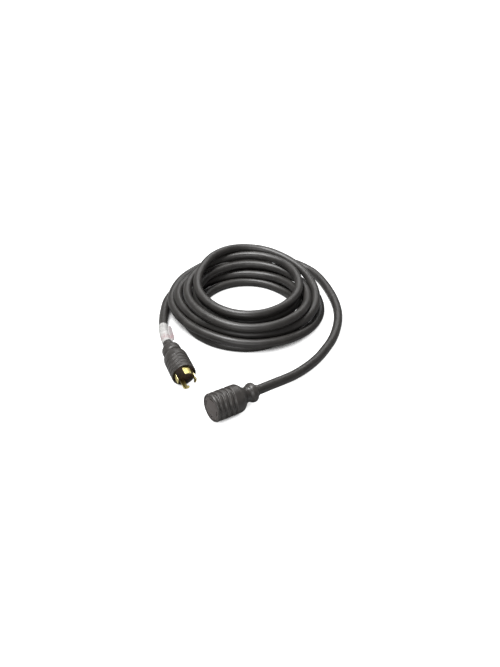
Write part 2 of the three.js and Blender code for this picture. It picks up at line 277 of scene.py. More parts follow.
def declared(piece, replaced, material=None):
    if material:
        piece.data.materials.clear()
        piece.data.materials.append(material)
    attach(piece, "root")
    if replaced:
        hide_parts(*replaced)
    return piece


# Rings of points made into a closed skin with flat ends
def ringFaces(rings, sides):
    faces = []
    for i in range(rings - 1):
        for j in range(sides):
            a, b = i * sides + j, i * sides + (j + 1) % sides
            faces.append((a, b, b + sides, a + sides))
    last = (rings - 1) * sides
    faces.append(tuple(range(sides - 1, -1, -1)))
    faces.append(tuple(range(last, last + sides)))
    return faces


def smoothed(data, sharpAngle=40):
    mesh = bmesh.new()
    mesh.from_mesh(data)
    bmesh.ops.recalc_face_normals(mesh, faces=mesh.faces)
    for face in mesh.faces:
        face.smooth = True
    for edge in mesh.edges:
        edge.smooth = edge.calc_face_angle(0) < math.radians(sharpAngle)
    mesh.to_mesh(data)
    mesh.free()


def makeCord(s, line):
    along = lengthsAlong(line)
    ahead, across, upward = framesAlong(line)
    angle = np.arange(s["sides"]) * 2 * math.pi / s["sides"]
    ridge = np.cos(4 * (angle[None, :] - 2 * math.pi * along[:, None] / s["layLength"]))
    radius = s["diameter"] / 2 + s["layRidge"] * (ridge - 1)
    spoke = across[:, None] * np.cos(angle)[None, :, None]
    spoke = spoke + upward[:, None] * np.sin(angle)[None, :, None]
    points = (line[:, None] + spoke * radius[..., None]).reshape(-1, 3)
    faces = ringFaces(len(line), s["sides"])
    nodes = ["cord_plug_tail", "cord_coil", "cord_connector_tail"]
    piece = newPiece("shoreCable", points, faces, nodes)
    smoothed(piece.data)
    way = piece.data.attributes.new("alongCord", "FLOAT_VECTOR", "POINT")
    values = np.stack([
        np.tile(np.cos(angle) * s["diameter"] / 2, len(line)),
        np.tile(np.sin(angle) * s["diameter"] / 2, len(line)),
        np.repeat(along, s["sides"]),
    ], axis=1)
    way.data.foreach_set("vector", values.astype(np.float32).ravel())
    return piece, along[-1]


cableLine = cordLine(cordSet)
cable, cableLength = makeCord(cordSet, cableLine)
print("cable laid,", round(cableLength, 3), "m")

# Four poles round the axis: angle, width along the arc, and which side of the tip is hooked
poleSet = {
    "ground": (90, 13.0, 0),
    "x": (180, 9.0, 0),
    "neutral": (270, 9.0, 1),
    "y": (0, 9.0, -1),
}
bladeSet = {
    "inner": 16.0,
    "outer": 17.5,
    "start": 66.0,
    "reach": 116.0,
    "round": 0.45,
    "hookLength": 6.5,
    "hookBelowTip": 0.5,
    "hookOut": 0.33,  # share of the blade's width
    "barrelRadius": 15.0,
    "barrelOuter": 2.3,
    "barrelInner": 1.7,
    "barrelFrom": 62,
    "barrelTo": 72,
    "barrelFloor": 70,
    "barrelPin": 0.02,
    "corner": 1.6,
    "hookRound": 2.2,
    "hookHeel": 1.2,
    "hookRoot": 0.8,
    "bendStep": 0.8,
}
plugSet = {
    "outline": [
        (9.7, 0, 0.3), (10.1, 1.0, 0.6), (10.3, 13.6, 0.9), (15.0, 14.6, 1.4), (17.4, 17.8, 2.2),
        (17.8, 24, 3), (17.8, 31.6, 2.0), (16.0, 34.6, 1.4), (14.3, 36.4, 1.0), (14.3, 38.8, 0.9),
        (18.8, 40.6, 1.4), (21.3, 43.8, 2.0), (22.05, 49.0, 2.4), (22.05, 97.0, 1.0), (21.3, 98, 0.5),
        (20.5, 98, 0.5), (19.9, 97.2, 0.5), (19.9, 48, 0.3), (9.05, 39, 0.3), (9.05, 0, 0.2),
    ],
    "fine": (56, 96.5),
    "grip": {
        "Grooves": 4, "First": 62 * mm, "Pitch": 9.0 * mm, "Depth": 1.3 * mm, "Width": 4.6 * mm,
        "Waves": 3.0, "Wave Height": 1.9 * mm, "Zone Start": 56.5 * mm, "Zone End": 96 * mm,
        "Inside Radius": 20.5 * mm,
    },
}
connectorSet = {
    "outline": [
        (9.7, 0, 0.3), (10.1, 0.9, 0.5), (10.3, 4.7, 0.8), (13.8, 6.0, 1.6), (17.0, 8.8, 2.6),
        (17.5, 12.4, 2.6), (16.9, 16.2, 2.2), (15.2, 18.8, 1.6), (13.6, 21.2, 1.8), (13.4, 26.5, 2.4),
        (16.6, 31.5, 2.6), (21.8, 36.8, 2.6), (24.2, 40.0, 2.2), (24.9, 43.4, 2.2), (24.9, 90.9, 1.6),
        (24.1, 92.8, 1.0), (22.6, 93.5, 0.5), (21.4, 93.2, 0.3), (21.2, 46, 0.3), (9.05, 37, 0.3),
        (9.05, 0, 0.2),
    ],
    "fine": (52, 91),
    "grip": {
        "Grooves": 4, "First": 58 * mm, "Pitch": 9.6 * mm, "Depth": 2.2 * mm, "Width": 5.4 * mm,
        "Waves": 3.0, "Wave Height": 1.9 * mm, "Zone Start": 52.5 * mm, "Zone End": 90.5 * mm,
        "Inside Radius": 21.8 * mm,
    },
}
faceSet = {
    "plugRadius": 19.6, "plugBack": 74.0, "plugFront": 92.0,
    "connectorRadius": 20.9, "connectorBack": 68.5, "connectorFront": 92.7,
    "chamberEnd": 82.5, "chamberInner": 14.0, "chamberOuter": 19.5, "chamberExtra": 1.2,
    "clearance": 0.4, "edge": 0.35,
}
labelSet = {
    "from": 0.004, "to": 0.062, "rings": 48, "around": 40,
    "gap": 0.00015, "thickness": 0.00035,
    "flagHeight": 0.0080, "flagMiddle": 0.028, "flagLength": 0.055, "flagRound": 3.0,
    "flagThickness": 0.0006, "flagAngle": 18.0, "curl": 0.0022, "flagLeast": 0.0004,
}


def rounded(corners, steps=5):
    line, count = [], len(corners)
    for i, (r, z, size) in enumerate(corners):
        here = np.array((r, z), float)
        before = np.array(corners[i - 1][:2], float) - here
        after = np.array(corners[(i + 1) % count][:2], float) - here
        cutBefore = min(size, 0.45 * np.linalg.norm(before))
        cutAfter = min(size, 0.45 * np.linalg.norm(after))
        a = here + before / np.linalg.norm(before) * cutBefore
        b = here + after / np.linalg.norm(after) * cutAfter
        for t in np.linspace(0, 1, steps + 1):
            line.append((1 - t) ** 2 * a + 2 * t * (1 - t) * here + t * t * b)
    return line


# Adds points to an outline: close together where the grip is cut, further apart elsewhere
def refined(line, fine, fineStep=0.45, coarseStep=6.0, inside=21.6):
    made = []
    for i, here in enumerate(line):
        then = line[(i + 1) % len(line)]
        made.append(here)
        if here[0] > inside and then[0] > inside and then[1] > here[1]:
            z, stops = here[1], []
            while z < then[1]:
                z += fineStep if fine[0] <= z < fine[1] else 2.0
                stops.append(z)
            for stop in stops[:-1]:
                t = (stop - here[1]) / (then[1] - here[1])
                made.append(here + (then - here) * t)
        else:
            pieces = int(np.linalg.norm(then - here) // coarseStep)
            for k in range(pieces):
                made.append(here + (then - here) * (k + 1) / (pieces + 1))
    return made


# A closed outline of radius and height turned about +Z
def turnedMesh(name, line, segments=128):
    points, faces, count = [], [], len(line)
    for j in range(segments):
        a = 2 * math.pi * j / segments
        points += [(r * math.cos(a) * mm, r * math.sin(a) * mm, z * mm) for r, z in line]
    for j in range(segments):
        for i in range(count):
            a, b = j * count + i, j * count + (i + 1) % count
            c, d = ((j + 1) % segments) * count + (i + 1) % count, ((j + 1) % segments) * count + i
            faces.append((a, d, c, b))
    data = bpy.data.meshes.new(name)
    data.from_pydata(points, [], faces)
    return data


def filled(tree, node, inputs):
    for key, value in inputs.items():
        if isinstance(value, bpy.types.NodeSocket):
            tree.links.new(value, node.inputs[key])
        else:
            node.inputs[key].default_value = value


def addNode(tree, kind, inputs=None, **values):
    made = tree.nodes.new(kind)
    for key, value in values.items():
        setattr(made, key, value)
    filled(tree, made, inputs or {})
    return made


def maths(tree, operation, *values):
    made = addNode(tree, "ShaderNodeMath", dict(enumerate(values)), operation=operation)
    return made.outputs[0]


# Geometry nodes: rings of grooves cut round a turned body, straight or in waves
def gripTree():
    tree = bpy.data.node_groups.new("gripGrooves", "GeometryNodeTree")
    face = tree.interface
    face.new_socket("Geometry", in_out="INPUT", socket_type="NodeSocketGeometry")
    for name in ("First", "Pitch", "Depth", "Width", "Waves", "Wave Height", "Zone Start", "Zone End",
                 "Inside Radius"):
        face.new_socket(name, in_out="INPUT", socket_type="NodeSocketFloat")
    face.new_socket("Grooves", in_out="INPUT", socket_type="NodeSocketInt")
    face.new_socket("Material", in_out="INPUT", socket_type="NodeSocketMaterial")
    face.new_socket("Geometry", in_out="OUTPUT", socket_type="NodeSocketGeometry")
    given = addNode(tree, "NodeGroupInput").outputs
    place = addNode(tree, "GeometryNodeInputPosition").outputs[0]
    parts = addNode(tree, "ShaderNodeSeparateXYZ", {0: place}).outputs
    radius = maths(tree, "SQRT", maths(tree, "ADD", maths(tree, "MULTIPLY", parts[0], parts[0]),
                                       maths(tree, "MULTIPLY", parts[1], parts[1])))
    angle = maths(tree, "ARCTAN2", parts[1], parts[0])
    zone = maths(tree, "SUBTRACT", given["Zone End"], given["Zone Start"])
    share = maths(tree, "DIVIDE", maths(tree, "SUBTRACT", parts[2], given["Zone Start"]), zone)
    ends = maths(tree, "MINIMUM", share, maths(tree, "SUBTRACT", 1.0, share))
    fade = maths(tree, "MAXIMUM", maths(tree, "MINIMUM", maths(tree, "MULTIPLY", ends, 5.0), 1.0), 0.0)
    swing = maths(tree, "SINE", maths(tree, "MULTIPLY", angle, given["Waves"]))
    shift = maths(tree, "MULTIPLY", maths(tree, "MULTIPLY", swing, given["Wave Height"]), fade)
    height = maths(tree, "SUBTRACT", parts[2], shift)
    step = maths(tree, "DIVIDE", maths(tree, "SUBTRACT", height, given["First"]), given["Pitch"])
    lastOne = maths(tree, "SUBTRACT", given["Grooves"], 1.0)
    nearest = maths(tree, "MAXIMUM", maths(tree, "MINIMUM", maths(tree, "ROUND", step), lastOne), 0.0)
    away = maths(tree, "ABSOLUTE", maths(tree, "MULTIPLY", maths(tree, "SUBTRACT", step, nearest),
                                         given["Pitch"]))
    cutShape = addNode(tree, "ShaderNodeMapRange", {
        "Value": away, "From Min": maths(tree, "MULTIPLY", given["Width"], 0.14),
        "From Max": maths(tree, "MULTIPLY", given["Width"], 0.56), "To Min": 1.0, "To Max": 0.0,
    }, interpolation_type="SMOOTHSTEP").outputs["Result"]
    outside = maths(tree, "GREATER_THAN", radius, given["Inside Radius"])
    depth = maths(tree, "MULTIPLY", maths(tree, "MULTIPLY", cutShape, given["Depth"]), outside)
    pull = maths(tree, "MULTIPLY", maths(tree, "DIVIDE", depth, radius), -1.0)
    flat = addNode(tree, "ShaderNodeVectorMath", {0: place, 1: (1, 1, 0)}, operation="MULTIPLY")
    offset = addNode(
        tree, "ShaderNodeVectorMath", {0: flat.outputs[0], "Scale": pull}, operation="SCALE").outputs[0]
    moved = addNode(tree, "GeometryNodeSetPosition", {"Geometry": given["Geometry"], "Offset": offset})
    whole = addNode(tree, "GeometryNodeRealizeInstances", {0: moved.outputs[0]})
    painted = addNode(tree, "GeometryNodeSetMaterial", {
        "Geometry": whole.outputs[0], "Material": given["Material"]})
    addNode(tree, "NodeGroupOutput", {0: painted.outputs[0]})
    return tree


def throughTree(data, tree, values):
    piece = bpy.data.objects.new(data.name, data)
    scene.collection.objects.link(piece)
    modifier = piece.modifiers.new(tree.name, "NODES")
    modifier.node_group = tree
    for socket in tree.interface.items_tree:
        if socket.in_out == "INPUT" and socket.name in values:
            modifier[socket.identifier] = values[socket.name]
    shown = piece.evaluated_get(bpy.context.evaluated_depsgraph_get())
    made = bpy.data.meshes.new_from_object(shown)
    piece.modifiers.clear()
    piece.data = made
    return piece


def makeHandle(name, s, place, tree, material, node):
    line = refined(rounded(s["outline"]), s["fine"])
    data = turnedMesh(name, line)
    piece = throughTree(data, tree, {**s["grip"], "Material": material})
    smoothed(piece.data, 50)
    piece.data.transform(place)
    return declared(piece, [node])


# A flat plate from closed outlines in the XY plane, its edges rounded; the first outline is the rim
def plateMesh(name, outlines, low, high, edge):
    curve = bpy.data.curves.new(name, "CURVE")
    curve.dimensions = "2D"
    curve.fill_mode = "BOTH"
    curve.extrude = ((high - low) / 2 - edge) * mm
    curve.bevel_depth = edge * mm
    curve.bevel_resolution = 2
    curve.offset = -edge * mm
    for outline in outlines:
        spline = curve.splines.new("POLY")
        spline.points.add(len(outline) - 1)
        for point, (x, y) in zip(spline.points, outline):
            point.co = (x * mm, y * mm, 0, 1)
        spline.use_cyclic_u = True
    holder = bpy.data.objects.new(name, curve)
    data = bpy.data.meshes.new_from_object(holder)
    bpy.data.objects.remove(holder)
    data.transform(Matrix.Translation((0, 0, (low + high) / 2 * mm)))
    mesh = bmesh.new()
    mesh.from_mesh(data)
    bmesh.ops.remove_doubles(mesh, verts=mesh.verts, dist=1e-6)
    bmesh.ops.recalc_face_normals(mesh, faces=mesh.faces)
    mesh.to_mesh(data)
    mesh.free()
    return data


def circleOutline(radius, count=120):
    steps = [2 * math.pi * i / count for i in range(count)]
    return [(radius * math.cos(a), radius * math.sin(a)) for a in steps]


def arcOutline(inner, outer, angle, width, count=14):
    half = width / (inner + outer)
    turns = [math.radians(angle) + half * (2 * i / count - 1) for i in range(count + 1)]
    forth = [(outer * math.cos(a), outer * math.sin(a)) for a in turns]
    back = [(inner * math.cos(a), inner * math.sin(a)) for a in reversed(turns)]
    return list(reversed(forth + back))


def joinedMesh(name, meshes):
    mesh = bmesh.new()
    for data in meshes:
        mesh.from_mesh(data)
        bpy.data.meshes.remove(data)
    data = bpy.data.meshes.new(name)
    mesh.to_mesh(data)
    mesh.free()
    return data


def placed(name, data, place, replaced, material, sharpAngle=35):
    data.transform(place)
    smoothed(data, sharpAngle)
    piece = bpy.data.objects.new(name, data)
    scene.collection.objects.link(piece)
    return declared(piece, replaced, material)


def bladeSlots(s):
    c = s["clearance"]
    return [
        arcOutline(bladeSet["inner"] - c, bladeSet["outer"] + c, angle, width + 2 * c)
        for angle, width, hook in poleSet.values()
    ]


def makeCarrier(s, material):
    outlines = [circleOutline(s["plugRadius"]), *bladeSlots(s)]
    data = plateMesh("bladeCarrier", outlines, s["plugBack"], s["plugFront"], s["edge"])
    return placed("bladeCarrier", data, plugPlace, ["plug_blade_carrier"], material)


def makeFace(s, material):
    outlines = [circleOutline(s["connectorRadius"]), *bladeSlots(s)]
    front = plateMesh("faceFront", outlines, s["chamberEnd"] - 0.5, s["connectorFront"], s["edge"])
    chambers = [
        arcOutline(s["chamberInner"], s["chamberOuter"], angle, width + s["chamberExtra"])
        for angle, width, hook in poleSet.values()
    ]
    outlines = [circleOutline(s["connectorRadius"]), *chambers]
    back = plateMesh("faceBack", outlines, s["connectorBack"], s["chamberEnd"], 0.1)
    data = joinedMesh("socketFace", [front, back])
    return placed("socketFace", data, connectorPlace, ["connector_face"], material)


# A blade drawn flat, its arc length along X and its height along Y, then bent round the axis
def makeBlade(pole, s, material):
    angle, width, hook = poleSet[pole]
    half, tip = width / 2, s["reach"]
    corner, root, heel, crown = s["corner"], s["hookRoot"], s["hookHeel"], s["hookRound"]
    outline = [(half, s["start"]), (half, tip - corner), (half - corner, tip)]
    outline += [(-half + corner, tip), (-half, tip - corner), (-half, s["start"])]
    if hook:
        foot, top = half + s["hookOut"] * width, tip - s["hookBelowTip"]
        low = top - s["hookLength"]
        hooked = [(half, s["start"]), (half, low - root), (half + root, low), (foot - heel, low)]
        hooked += [(foot, low + heel), (foot, top - crown), (foot - crown, top), (half, tip)]
        outline = hooked + outline[3:]
        outline = [(x * hook, y) for x, y in outline]
        if hook < 0:
            outline = outline[::-1]
    thickness = s["outer"] - s["inner"]
    data = plateMesh("flatBlade", [outline], -thickness / 2, thickness / 2, s["round"])
    mesh = bmesh.new()
    mesh.from_mesh(data)
    for x in np.arange(-width, width + 0.1, s["bendStep"]):
        everything = mesh.verts[:] + mesh.edges[:] + mesh.faces[:]
        bmesh.ops.bisect_plane(mesh, geom=everything, plane_co=(x * mm, 0, 0), plane_no=(1, 0, 0))
    middle = (s["inner"] + s["outer"]) / 2 * mm
    for vert in mesh.verts:
        along, height, out = vert.co
        a = math.radians(angle) + along / middle
        vert.co = ((middle + out) * math.cos(a), (middle + out) * math.sin(a), height)
    mesh.to_mesh(data)
    mesh.free()
    outer, inner, pin = s["barrelOuter"], s["barrelInner"], s["barrelPin"]
    start, end, floor = s["barrelFrom"], s["barrelTo"], s["barrelFloor"]
    ring = [(outer, start, 0.2), (outer, end, 0.2), (pin, end, 0.01), (pin, floor, 0.01),
            (inner, floor, 0.1), (inner, start, 0.1)]
    barrel = turnedMesh("barrel", rounded(ring, 2), 24)
    a = math.radians(angle)
    radius = s["barrelRadius"] * mm
    barrel.transform(Matrix.Translation((radius * math.cos(a), radius * math.sin(a), 0)))
    name = "brassBlade_" + pole
    data = joinedMesh(name, [data, barrel])
    return placed(name, data, plugPlace, ["blade_" + pole], material, 50)


def makeLabel(s, line, material):
    along = lengthsAlong(line)
    at = np.linspace(s["from"], s["to"], s["rings"])
    middle = throughPoints(along[:40], line[:40], at)
    ahead = np.gradient(middle, axis=0)
    ahead /= np.linalg.norm(ahead, axis=1)[:, None]
    lean = math.radians(s["flagAngle"])
    towards = np.array((math.cos(lean), 0, math.sin(lean)))
    inner = cordSet["diameter"] / 2 + s["gap"]
    outer, halfFlag = inner + s["thickness"], s["flagThickness"] / 2
    opening = math.asin(halfFlag / outer) * 1.6
    arc = np.linspace(opening, 2 * math.pi - opening, s["around"])
    reach = np.linspace(0, 1, 7)[1:]
    points, coords = [], []
    for i in range(s["rings"]):
        out = towards - ahead[i] * (towards @ ahead[i])
        out /= np.linalg.norm(out)
        aside = np.cross(ahead[i], out)
        share = abs(2 * (at[i] - s["flagMiddle"]) / s["flagLength"])
        swell = max(0.0, 1 - share ** s["flagRound"]) ** (1 / s["flagRound"])
        rise = max(s["flagLeast"], s["flagHeight"] * swell)
        section = [(outer * math.cos(a), outer * math.sin(a)) for a in arc]
        under = [
            (outer + rise * t, -halfFlag - s["curl"] * (rise * t / s["flagHeight"]) ** 2) for t in reach
        ]
        over = [(x, y + 2 * halfFlag) for x, y in reversed(under)]
        hollow = [(inner * math.cos(a), inner * math.sin(a)) for a in arc]
        hollow += [(inner, 0.0)] * (2 * len(reach))
        for x, y in section + under + over:
            points.append(middle[i] + out * x + aside * y)
        for k, (x, y) in enumerate(hollow):
            tiny = (k - len(arc)) / (2 * len(reach)) - 0.5 if k >= len(arc) else 0
            points.append(middle[i] + out * x + aside * (y + tiny * inner * math.sin(opening) * -1.8))
        turn = list(arc * outer) + [2 * math.pi * outer + rise * t for t in reach]
        turn += [-rise * t for t in reversed(reach)]
        coords.append([(u, at[i]) for u in turn] + [(u, at[i]) for u in turn])
    count = len(coords[0]) // 2
    faces = []
    for i in range(s["rings"] - 1):
        for j in range(count):
            k = (j + 1) % count
            a, b = i * 2 * count, (i + 1) * 2 * count
            faces.append((a + j, a + k, b + k, b + j))
            faces.append((a + count + k, a + count + j, b + count + j, b + count + k))
    for i in (0, s["rings"] - 1):
        for j in range(count):
            k = (j + 1) % count
            a = i * 2 * count
            quad = (a + j, a + count + j, a + count + k, a + k)
            faces.append(quad if i == 0 else quad[::-1])
    piece = newPiece("cableLabel", points, faces, ["warning_label"], material)
    smoothed(piece.data, 60)
    flatWay = piece.data.attributes.new("labelWay", "FLOAT_VECTOR", "POINT")
    values = np.array([(u, v, 0) for ring in coords for u, v in ring], np.float32)
    flatWay.data.foreach_set("vector", values.ravel())
    return piece


def newGroup(name, inputs, outputs):
    tree = bpy.data.node_groups.new(name, "ShaderNodeTree")
    for label, kind in inputs.items():
        tree.interface.new_socket(label, in_out="INPUT", socket_type="NodeSocket" + kind)
    for label, kind in outputs.items():
        tree.interface.new_socket(label, in_out="OUTPUT", socket_type="NodeSocket" + kind)
    return tree, addNode(tree, "NodeGroupInput").outputs


def noise(tree, vector, scale, detail=3.0, roughness=0.55):
    made = addNode(tree, "ShaderNodeTexNoise", {
        "Vector": vector, "Scale": scale, "Detail": detail, "Roughness": roughness})
    return made.outputs["Fac"]


def ranged(tree, value, low, high, toLow=0.0, toHigh=1.0):
    made = addNode(tree, "ShaderNodeMapRange", {
        "Value": value, "From Min": low, "From Max": high, "To Min": toLow, "To Max": toHigh})
    return made.outputs["Result"]


def mixed(tree, factor, a, b):
    made = tree.nodes.new("ShaderNodeMix")
    made.data_type = "RGBA"
    for socket, value in ((made.inputs[0], factor), (made.inputs[6], a), (made.inputs[7], b)):
        if isinstance(value, bpy.types.NodeSocket):
            tree.links.new(value, socket)
        else:
            socket.default_value = (*value, 1) if isinstance(value, tuple) else value
    return made.outputs[2]


# Fine grain to bump with, and slow patches to vary colour and gloss by
def grainGroup():
    tree, given = newGroup(
        "surfaceGrain",
        {"Vector": "Vector", "Grain Scale": "Float", "Patch Scale": "Float"},
        {"Height": "Float", "Patches": "Float"},
    )
    fine = noise(tree, given["Vector"], given["Grain Scale"], 2.0)
    broad = noise(tree, given["Vector"], given["Patch Scale"], 4.0, 0.6)
    addNode(tree, "NodeGroupOutput", {0: fine, 1: ranged(tree, broad, 0.32, 0.68)})
    return tree


# Where handling has rubbed the edges
def wearGroup():
    tree, given = newGroup(
        "edgeWear",
        {"Pointiness": "Float", "Vector": "Vector", "Scale": "Float", "Amount": "Float"},
        {"Mask": "Float"},
    )
    edge = ranged(tree, given["Pointiness"], 0.502, 0.56)
    broken = ranged(tree, noise(tree, given["Vector"], given["Scale"], 5.0, 0.65), 0.35, 0.62)
    mask = maths(tree, "MULTIPLY", maths(tree, "MULTIPLY", edge, broken), given["Amount"])
    addNode(tree, "NodeGroupOutput", {0: mask})
    return tree


# Dust that settles on what faces up
def dustGroup():
    tree, given = newGroup(
        "settledDust", {"Normal": "Vector", "Vector": "Vector", "Amount": "Float"}, {"Mask": "Float"})
    upward = addNode(tree, "ShaderNodeSeparateXYZ", {0: given["Normal"]}).outputs[2]
    top = ranged(tree, upward, 0.1, 1.0)
    broken = ranged(tree, noise(tree, given["Vector"], 90.0, 5.0, 0.7), 0.3, 0.75)
    mask = maths(tree, "MULTIPLY", maths(tree, "MULTIPLY", top, broken), given["Amount"])
    addNode(tree, "NodeGroupOutput", {0: mask})
    return tree


grain, wear, dust = grainGroup(), wearGroup(), dustGroup()
dustColour = (0.32, 0.30, 0.28)


def newMaterial(name):
    material = bpy.data.materials.new(name)
    material.use_nodes = True
    tree = material.node_tree
    shader = tree.nodes["Principled BSDF"]
    return material, tree, shader


def groupNode(tree, group, inputs):
    made = tree.nodes.new("ShaderNodeGroup")
    made.node_tree = group
    filled(tree, made, inputs)
    return made.outputs


def bumped(tree, shader, height, distance):
    made = addNode(tree, "ShaderNodeBump", {"Height": height, "Distance": distance, "Strength": 1.0})
    tree.links.new(made.outputs[0], shader.inputs["Normal"])


def objectPlace(tree, place=None, scale=(1, 1, 1)):
    made = addNode(tree, "ShaderNodeTexCoord").outputs["Object"]
    if place is None:
        return made
    turn = place.inverted().to_euler()
    turned = addNode(tree, "ShaderNodeMapping", {
        "Vector": made, "Rotation": tuple(turn)}, vector_type="POINT").outputs[0]
    scaled = addNode(tree, "ShaderNodeVectorMath", {0: turned, 1: scale}, operation="MULTIPLY")
    return scaled.outputs[0]


# Moulded, pressed or drawn surfaces: two shades in patches, rubbed edges, a little dust
def plainMaterial(name, s):
    material, tree, shader = newMaterial(name)
    vector = objectPlace(tree, s.get("place"), s.get("stretch", (1, 1, 1)))
    grains = groupNode(tree, grain, {
        "Vector": vector, "Grain Scale": s["grain"], "Patch Scale": s["patch"]})
    around = addNode(tree, "ShaderNodeNewGeometry").outputs
    rubbed = groupNode(tree, wear, {
        "Pointiness": around["Pointiness"], "Vector": vector, "Scale": s["patch"] * 6,
        "Amount": s["wear"]})
    dusty = groupNode(tree, dust, {
        "Normal": around["Normal"], "Vector": vector, "Amount": s["dust"]})
    colour = mixed(tree, grains["Patches"], s["dark"], s["light"])
    colour = mixed(tree, rubbed["Mask"], colour, s["worn"])
    colour = mixed(tree, dusty["Mask"], colour, dustColour)
    tree.links.new(colour, shader.inputs["Base Color"])
    rough = ranged(tree, grains["Patches"], 0.0, 1.0, s["rough"][0], s["rough"][1])
    rough = maths(tree, "ADD", rough, maths(tree, "MULTIPLY", dusty["Mask"], 0.4))
    tree.links.new(rough, shader.inputs["Roughness"])
    shader.inputs["Metallic"].default_value = s.get("metal", 0.0)
    shader.inputs["Specular IOR Level"].default_value = s.get("specular", 0.5)
    bumped(tree, shader, grains["Height"], s["bump"])
    return material


jacketSet = {
    "dark": (0.016, 0.0150, 0.0142),
    "light": (0.030, 0.0280, 0.0262),
    "scuff": (0.085, 0.080, 0.074),
    "rough": (0.36, 0.47),
    "streak": 2300.0,
    "grain": 3200.0,
    "patch": 26.0,
    "bump": 0.00003,
    "dust": 0.03,
}


# The jacket: fine lines drawn out along the cable, faint scuffs and dust
def jacketMaterial(name, s, followsCable):
    material, tree, shader = newMaterial(name)
    if followsCable:
        vector = addNode(tree, "ShaderNodeAttribute", attribute_name="alongCord").outputs["Vector"]
    else:
        vector = objectPlace(tree)
    drawnOut = addNode(
        tree, "ShaderNodeVectorMath", {0: vector, 1: (1, 1, 0.035)}, operation="MULTIPLY")
    streaks = noise(tree, drawnOut.outputs[0], s["streak"] * 0.35, 3.0, 0.7)
    grains = groupNode(tree, grain, {
        "Vector": vector, "Grain Scale": s["grain"], "Patch Scale": s["patch"]})
    around = addNode(tree, "ShaderNodeNewGeometry").outputs
    dusty = groupNode(tree, dust, {"Normal": around["Normal"], "Vector": vector, "Amount": s["dust"]})
    scuffs = ranged(tree, noise(tree, vector, 140.0, 6.0, 0.75), 0.60, 0.72, 0.0, 0.35)
    colour = mixed(tree, grains["Patches"], s["dark"], s["light"])
    colour = mixed(tree, ranged(tree, streaks, 0.3, 0.75, 0.0, 0.5), colour, s["light"])
    colour = mixed(tree, scuffs, colour, s["scuff"])
    colour = mixed(tree, dusty["Mask"], colour, dustColour)
    tree.links.new(colour, shader.inputs["Base Color"])
    rough = ranged(tree, grains["Patches"], 0.0, 1.0, s["rough"][0], s["rough"][1])
    rough = maths(tree, "ADD", rough, maths(tree, "MULTIPLY", scuffs, 0.35))
    tree.links.new(rough, shader.inputs["Roughness"])
    height = maths(tree, "ADD", maths(tree, "MULTIPLY", streaks, 0.8),
                   maths(tree, "MULTIPLY", grains["Height"], 0.4))
    bumped(tree, shader, height, s["bump"])
    return material


handleSet = {
    "dark": (0.026, 0.0236, 0.0222), "light": (0.042, 0.0384, 0.0360), "worn": (0.12, 0.11, 0.10),
    "rough": (0.32, 0.46), "grain": 2600.0, "patch": 60.0, "wear": 0.7, "dust": 0.05, "bump": 0.00006,
}
carrierSet = {
    "dark": (0.020, 0.0085, 0.0055), "light": (0.040, 0.016, 0.009), "worn": (0.11, 0.07, 0.05),
    "rough": (0.34, 0.50), "grain": 1800.0, "patch": 120.0, "wear": 0.6, "dust": 0.02, "bump": 0.00002,
}
faceLookSet = {
    "dark": (0.056, 0.0470, 0.0435), "light": (0.080, 0.0675, 0.0620), "worn": (0.16, 0.14, 0.13),
    "rough": (0.40, 0.54), "grain": 2200.0, "patch": 90.0, "wear": 0.6, "dust": 0.04, "bump": 0.00004,
}
brassSet = {
    "dark": (0.58, 0.48, 0.15), "light": (0.82, 0.72, 0.30), "worn": (0.95, 0.88, 0.55),
    "rough": (0.30, 0.48), "grain": 1500.0, "patch": 160.0, "wear": 1.0, "dust": 0.0, "bump": 0.00001,
    "metal": 1.0, "place": plugPlace, "stretch": (1, 1, 0.06),
}
contactSet = {**brassSet, "place": connectorPlace, "dark": (0.55, 0.37, 0.12)}
copperSet = {
    "dark": (0.55, 0.22, 0.09), "light": (0.83, 0.42, 0.22), "worn": (0.95, 0.64, 0.42),
    "rough": (0.22, 0.42), "grain": 3000.0, "patch": 300.0, "wear": 0.6, "dust": 0.0, "bump": 0.00006,
    "metal": 1.0,
}
innerSet = {
    "dark": (0.040, 0.038, 0.035), "light": (0.060, 0.057, 0.052), "worn": (0.14, 0.13, 0.12),
    "rough": (0.55, 0.70), "grain": 1500.0, "patch": 70.0, "wear": 0.4, "dust": 0.0, "bump": 0.00008,
}
wireColours = {
    "ground": (0.035, 0.230, 0.060), "x": (0.014, 0.014, 0.014),
    "neutral": (0.640, 0.620, 0.570), "y": (0.380, 0.030, 0.022),
}


def wireSet(colour):
    return {
        "dark": tuple(0.8 * c for c in colour), "light": colour,
        "worn": tuple(0.3 + 0.7 * c for c in colour), "rough": (0.30, 0.44), "grain": 1400.0,
        "patch": 110.0, "wear": 0.3, "dust": 0.0, "bump": 0.00003,
    }


labelLook = {
    "paper": (0.50, 0.495, 0.485), "aged": (0.37, 0.365, 0.355), "grey": (0.13, 0.125, 0.125),
    "red": (0.30, 0.175, 0.185), "flag": (0.27, 0.235, 0.240), "rough": (0.32, 0.46),
}


